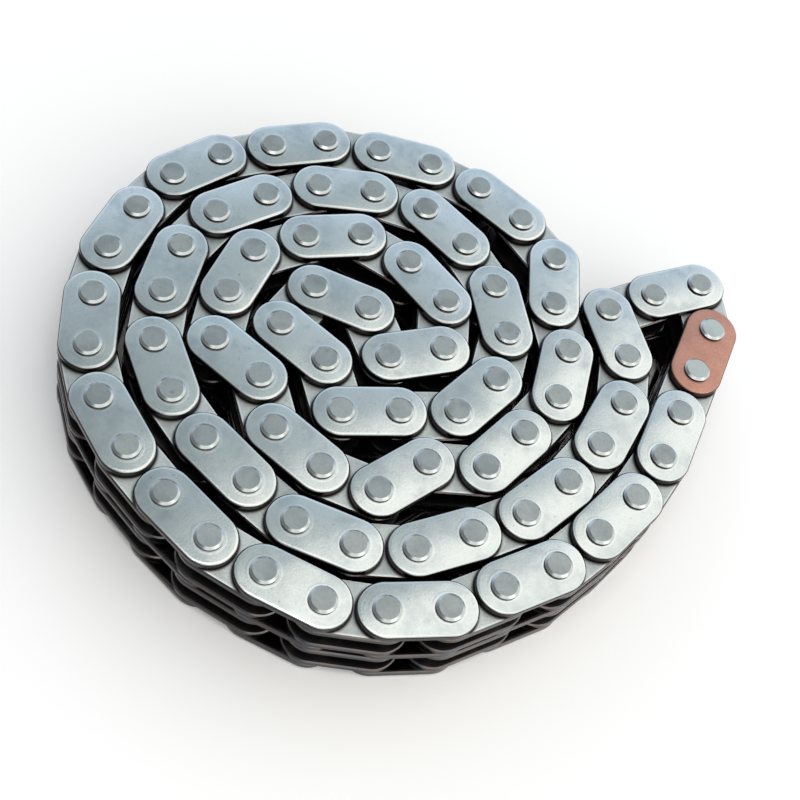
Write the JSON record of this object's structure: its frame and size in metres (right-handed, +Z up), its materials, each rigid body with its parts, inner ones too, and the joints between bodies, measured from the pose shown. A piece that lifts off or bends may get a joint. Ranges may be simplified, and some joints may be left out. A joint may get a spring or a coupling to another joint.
{
  "type": "timing chain",
  "caption": "Endless duplex bush timing chain, doubled and laid flat as a coil, with one copper-coloured timing mark link at its free end.",
  "frame": {"origin": "centre of the coil's bounding box, on the surface the pin ends stand on", "axes": "+Z up along the pins, +X along the coil's longest extent, towards the copper-coloured link at the free end"},
  "size_m": [0.0902, 0.0796, 0.0143],
  "materials": {
    "outer_plate_steel": "tumbled satin steel",
    "inner_plate_steel": "tumbled satin steel",
    "pin_steel": "ground steel, matt ends",
    "bush_steel": "oiled hardened steel",
    "mark_copper": "matt copper coating"
  },
  "bodies": {
    "coil": {"coil_top_plates": "outer_plate_steel", "coil_centre_plates": "outer_plate_steel", "coil_bottom_plates": "outer_plate_steel", "coil_pins": "pin_steel", "coil_inner_plates_1": "inner_plate_steel", "coil_inner_plates_2": "inner_plate_steel", "coil_inner_plates_3": "inner_plate_steel", "coil_inner_plates_4": "inner_plate_steel", "coil_lower_bushes": "bush_steel", "coil_upper_bushes": "bush_steel"},
    "link_01": {"link_01_inner_plates": "inner_plate_steel", "link_01_bushes": "bush_steel"},
    "link_02": {"link_02_outer_plates": "outer_plate_steel", "link_02_pins": "pin_steel"},
    "link_03": {"link_03_inner_plates": "inner_plate_steel", "link_03_bushes": "bush_steel"},
    "link_04": {"link_04_outer_plates": "outer_plate_steel", "link_04_pins": "pin_steel"},
    "link_05": {"link_05_inner_plates": "inner_plate_steel", "link_05_bushes": "bush_steel"},
    "link_06": {"link_06_outer_plates": "outer_plate_steel", "link_06_pins": "pin_steel"},
    "link_07": {"link_07_inner_plates": "inner_plate_steel", "link_07_bushes": "bush_steel"},
    "link_08": {"link_08_outer_plates": "outer_plate_steel", "link_08_pins": "pin_steel"},
    "link_09": {"link_09_inner_plates": "inner_plate_steel", "link_09_bushes": "bush_steel"},
    "link_10": {"link_10_outer_plates": "outer_plate_steel", "link_10_pins": "pin_steel", "mark_plate": "mark_copper"},
    "link_11": {"link_11_inner_plates": "inner_plate_steel", "link_11_bushes": "bush_steel"},
    "link_12": {"link_12_outer_plates": "outer_plate_steel", "link_12_pins": "pin_steel"},
    "link_13": {"link_13_inner_plates": "inner_plate_steel", "link_13_bushes": "bush_steel"},
    "link_14": {"link_14_outer_plates": "outer_plate_steel", "link_14_pins": "pin_steel"},
    "link_15": {"link_15_inner_plates": "inner_plate_steel", "link_15_bushes": "bush_steel"},
    "link_16": {"link_16_outer_plates": "outer_plate_steel", "link_16_pins": "pin_steel"},
    "link_17": {"link_17_inner_plates": "inner_plate_steel", "link_17_bushes": "bush_steel"},
    "link_18": {"link_18_outer_plates": "outer_plate_steel", "link_18_pins": "pin_steel"},
    "link_19": {"link_19_inner_plates": "inner_plate_steel", "link_19_bushes": "bush_steel"},
    "link_20": {"link_20_outer_plates": "outer_plate_steel", "link_20_pins": "pin_steel"},
    "link_21": {"link_21_inner_plates": "inner_plate_steel", "link_21_bushes": "bush_steel"}
  },
  "joints": [
    {"name": "free_end_swing", "type": "hinge", "parent": "coil", "child": "link_01", "pos_m": [0.00355, -0.036, 0], "axis": [0, 0, -1], "range_deg": [0, 20]},
    {"name": "link_02_pivot", "type": "hinge", "parent": "link_01", "child": "link_02", "pos_m": [0.01128, -0.03393, 0], "axis": [0, 0, -1], "range_deg": [0, 3.84]},
    {"name": "link_03_pivot", "type": "hinge", "parent": "link_02", "child": "link_03", "pos_m": [0.01853, -0.03055, 0], "axis": [0, 0, -1], "range_deg": [0, 3.97]},
    {"name": "link_04_pivot", "type": "hinge", "parent": "link_03", "child": "link_04", "pos_m": [0.02419, -0.02489, 0], "axis": [0, 0, -1], "range_deg": [0, 2.48]},
    {"name": "link_05_pivot", "type": "hinge", "parent": "link_04", "child": "link_05", "pos_m": [0.02984, -0.01923, 0], "axis": [0, 0, -1], "range_deg": [0, 4.34]},
    {"name": "link_06_pivot", "type": "hinge", "parent": "link_05", "child": "link_06", "pos_m": [0.03384, -0.01231, 0], "axis": [0, 0, -1], "range_deg": [-4.4, 0]},
    {"name": "link_07_pivot", "type": "hinge", "parent": "link_06", "child": "link_07", "pos_m": [0.03723, -0.00506, 0], "axis": [0, 0, -1], "range_deg": [-3, 0]},
    {"name": "link_08_pivot", "type": "hinge", "parent": "link_07", "child": "link_08", "pos_m": [0.0393, 0.00267, 0], "axis": [0, 0, -1], "range_deg": [-7.92, 0]},
    {"name": "link_09_pivot", "type": "hinge", "parent": "link_08", "child": "link_09", "pos_m": [0.03999, 0.01064, 0], "axis": [0, 0, -1], "range_deg": [-19.3, 0]},
    {"name": "link_10_pivot", "type": "hinge", "parent": "link_09", "child": "link_10", "pos_m": [0.04069, 0.01861, 0], "axis": [0, 0, -1], "range_deg": [0, 16.71]},
    {"name": "link_11_pivot", "type": "hinge", "parent": "link_10", "child": "link_11", "pos_m": [0.04132, 0.02659, 0], "axis": [0, 0, -1], "range_deg": [0, 9.22]},
    {"name": "link_12_pivot", "type": "hinge", "parent": "link_11", "child": "link_12", "pos_m": [0.03784, 0.03379, 0], "axis": [0, 0, -1], "range_deg": [0, 5.03]},
    {"name": "link_13_pivot", "type": "hinge", "parent": "link_12", "child": "link_13", "pos_m": [0.03172, 0.02865, 0], "axis": [0, 0, -1], "range_deg": [0, 4.74]},
    {"name": "link_14_pivot", "type": "hinge", "parent": "link_13", "child": "link_14", "pos_m": [0.02606, 0.02299, 0], "axis": [0, 0, -1], "range_deg": [-3.36, 0]},
    {"name": "link_15_pivot", "type": "hinge", "parent": "link_14", "child": "link_15", "pos_m": [0.03065, 0.01644, 0], "axis": [0, 0, -1], "range_deg": [-8, 0]},
    {"name": "link_16_pivot", "type": "hinge", "parent": "link_15", "child": "link_16", "pos_m": [0.03204, 0.00856, 0], "axis": [0, 0, -1], "range_deg": [-3.08, 0]},
    {"name": "link_17_pivot", "type": "hinge", "parent": "link_16", "child": "link_17", "pos_m": [0.03065, 0.00068, 0], "axis": [0, 0, -1], "range_deg": [0, 0.73]},
    {"name": "link_18_pivot", "type": "hinge", "parent": "link_17", "child": "link_18", "pos_m": [0.02791, -0.00683, 0], "axis": [0, 0, -1], "range_deg": [-0.64, 0]},
    {"name": "link_19_pivot", "type": "hinge", "parent": "link_18", "child": "link_19", "pos_m": [0.02391, -0.01376, 0], "axis": [0, 0, -1], "range_deg": [0, 3.78]},
    {"name": "link_20_pivot", "type": "hinge", "parent": "link_19", "child": "link_20", "pos_m": [0.01825, -0.01942, 0], "axis": [0, 0, -1], "range_deg": [0, 0.65]},
    {"name": "link_21_pivot", "type": "hinge", "parent": "link_20", "child": "link_21", "pos_m": [0.01213, -0.02456, 0], "axis": [0, 0, -1], "range_deg": [0, 1.33]}
  ],
  "couplings": [
    {"joint": "link_02_pivot", "follows": "free_end_swing", "ratio": 0.18927},
    {"joint": "link_03_pivot", "follows": "free_end_swing", "ratio": 0.19581},
    {"joint": "link_04_pivot", "follows": "free_end_swing", "ratio": 0.12144},
    {"joint": "link_05_pivot", "follows": "free_end_swing", "ratio": 0.21456},
    {"joint": "link_06_pivot", "follows": "free_end_swing", "ratio": -0.21768},
    {"joint": "link_07_pivot", "follows": "free_end_swing", "ratio": -0.14747},
    {"joint": "link_08_pivot", "follows": "free_end_swing", "ratio": -0.39375},
    {"joint": "link_09_pivot", "follows": "free_end_swing", "ratio": -0.96231},
    {"joint": "link_10_pivot", "follows": "free_end_swing", "ratio": 0.83319},
    {"joint": "link_11_pivot", "follows": "free_end_swing", "ratio": 0.45847},
    {"joint": "link_12_pivot", "follows": "free_end_swing", "ratio": 0.24924},
    {"joint": "link_13_pivot", "follows": "free_end_swing", "ratio": 0.23469},
    {"joint": "link_14_pivot", "follows": "free_end_swing", "ratio": -0.16571},
    {"joint": "link_15_pivot", "follows": "free_end_swing", "ratio": -0.39768},
    {"joint": "link_16_pivot", "follows": "free_end_swing", "ratio": -0.15149},
    {"joint": "link_17_pivot", "follows": "free_end_swing", "ratio": 0.03385},
    {"joint": "link_18_pivot", "follows": "free_end_swing", "ratio": -0.02954},
    {"joint": "link_19_pivot", "follows": "free_end_swing", "ratio": 0.18655},
    {"joint": "link_20_pivot", "follows": "free_end_swing", "ratio": 0.03017},
    {"joint": "link_21_pivot", "follows": "free_end_swing", "ratio": 0.06389}
  ]
}
